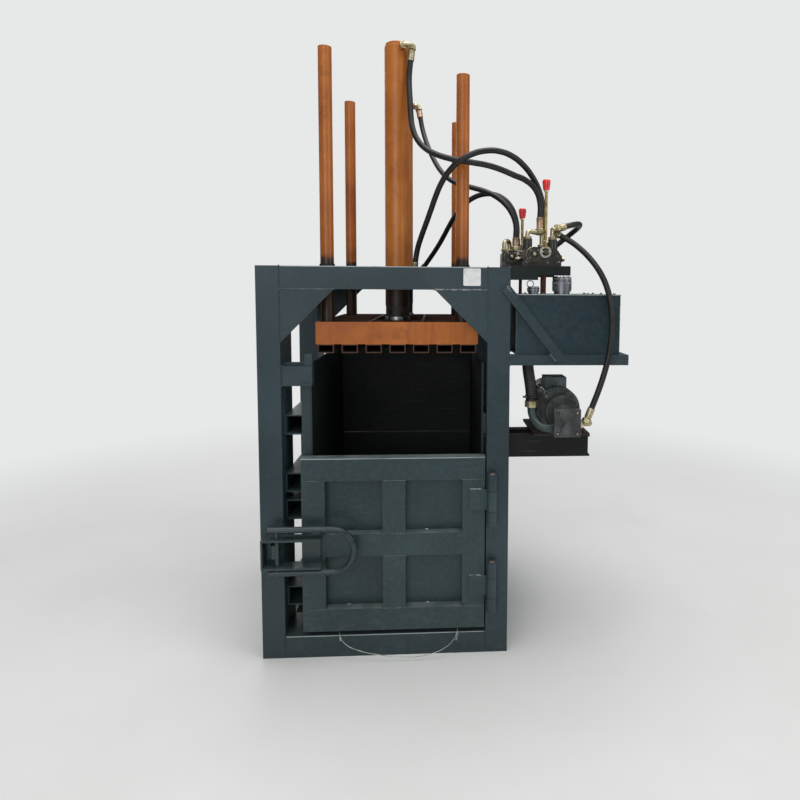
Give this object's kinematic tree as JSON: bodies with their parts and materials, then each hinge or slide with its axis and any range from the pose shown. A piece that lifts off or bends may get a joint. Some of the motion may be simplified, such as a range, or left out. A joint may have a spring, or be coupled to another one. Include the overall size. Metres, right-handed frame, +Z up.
{
  "type": "recycling baler",
  "caption": "Upright hydraulic baler: welded frame with a pressing plate on guide tubes, latched doors, wire grooves, oil tank, hand valves and motor pump unit.",
  "frame": {"origin": "on the floor at the middle of the frame's footprint", "axes": "+Z up, -Y towards the front door, +X towards the oil tank"},
  "size_m": [1.636, 1.18, 2.8],
  "materials": {
    "frame_paint": "satin",
    "chamber_paint": "matte",
    "orange_paint": "satin",
    "rod_steel": "satin",
    "cast_iron": "matte",
    "bush_plastic": "matte",
    "zinc_steel": "satin",
    "chrome": "gloss",
    "rusty_steel": "matte",
    "motor_paint": "satin",
    "red_grip": "gloss",
    "hose_rubber": "matte"
  },
  "bodies": {
    "frame": {"front_portal": "frame_paint", "rear_portal": "frame_paint", "side_beams": "frame_paint", "cylinder_bridge": "frame_paint", "floor_pan": "chamber_paint", "left_wall": "frame_paint", "right_wall": "frame_paint", "rear_panel": "chamber_paint", "feed_bracket": "frame_paint", "guide_bushes": "bush_plastic", "front_barrel": "orange_paint", "rear_barrel": "orange_paint", "front_gland": "cast_iron", "rear_gland": "cast_iron", "front_hinge_pins": "rod_steel", "rear_hinge_pins": "rod_steel", "valve_shelf": "frame_paint", "front_valve": "cast_iron", "rear_valve": "cast_iron", "tank": "frame_paint", "tank_shelf": "frame_paint", "tank_brace": "frame_paint", "breather_cap": "chrome", "filler_cap": "chrome", "return_pipes": "rusty_steel", "motor_supports": "frame_paint", "motor_base": "rusty_steel", "motor_housing": "motor_paint", "fan_cover": "motor_paint", "bell_housing": "cast_iron", "pump_body": "cast_iron", "suction_pipe": "zinc_steel", "hose_front_top": "hose_rubber", "hose_front_bottom": "hose_rubber", "hose_rear_top": "hose_rubber", "hose_rear_bottom": "hose_rubber", "hose_pressure": "hose_rubber", "hose_link": "hose_rubber", "hose_suction": "hose_rubber", "cylinder_fittings": "zinc_steel", "valve_fittings": "zinc_steel"},
    "press": {"platen": "orange_paint", "guide_tube_front_left": "orange_paint", "guide_tube_front_right": "orange_paint", "guide_tube_rear_left": "orange_paint", "guide_tube_rear_right": "orange_paint", "front_piston": "rod_steel", "rear_piston": "rod_steel"},
    "front_door": {"front_door": "frame_paint", "front_latch_bracket": "frame_paint", "bale_wire": "rod_steel"},
    "front_latch": {"front_latch_handle": "frame_paint"},
    "rear_door": {"rear_door": "frame_paint", "rear_latch_bracket": "frame_paint"},
    "rear_latch": {"rear_latch_handle": "frame_paint"},
    "front_control": {"front_lever": "zinc_steel", "front_grip": "red_grip"},
    "rear_control": {"rear_lever": "zinc_steel", "rear_grip": "red_grip"},
    "rotor": {"motor_rotor": "rod_steel"}
  },
  "joints": [
    {"name": "press_slide", "type": "slide", "parent": "frame", "child": "press", "axis": [0, 0, -1], "range_m": [0, 0.82]},
    {"name": "front_door_hinge", "type": "hinge", "parent": "frame", "child": "front_door", "pos_m": [0.474, -0.524, 0.5], "axis": [0, 0, 1], "range_deg": [0, 110]},
    {"name": "front_latch_turn", "type": "hinge", "parent": "front_door", "child": "front_latch", "pos_m": [-0.466, -0.55, 0.516], "axis": [0, 0, -1], "range_deg": [0, 150]},
    {"name": "rear_door_hinge", "type": "hinge", "parent": "frame", "child": "rear_door", "pos_m": [0.474, 0.524, 0.48], "axis": [0, 0, -1], "range_deg": [0, 110]},
    {"name": "rear_latch_turn", "type": "hinge", "parent": "rear_door", "child": "rear_latch", "pos_m": [-0.466, 0.55, 0.516], "axis": [0, 0, 1], "range_deg": [0, 150]},
    {"name": "front_lever_swing", "type": "hinge", "parent": "frame", "child": "front_control", "pos_m": [0.704, -0.488, 1.826], "axis": [1, 0, 0], "range_deg": [-12, 12], "stiffness_Nm_per_rad": 12},
    {"name": "rear_lever_swing", "type": "hinge", "parent": "frame", "child": "rear_control", "pos_m": [0.63, -0.283, 1.826], "axis": [1, 0, 0], "range_deg": [-12, 12], "stiffness_Nm_per_rad": 12},
    {"name": "rotor_spin", "type": "hinge", "parent": "frame", "child": "rotor", "pos_m": [0.792, -0.3, 1.11], "axis": [0, 1, 0], "continuous": true}
  ]
}
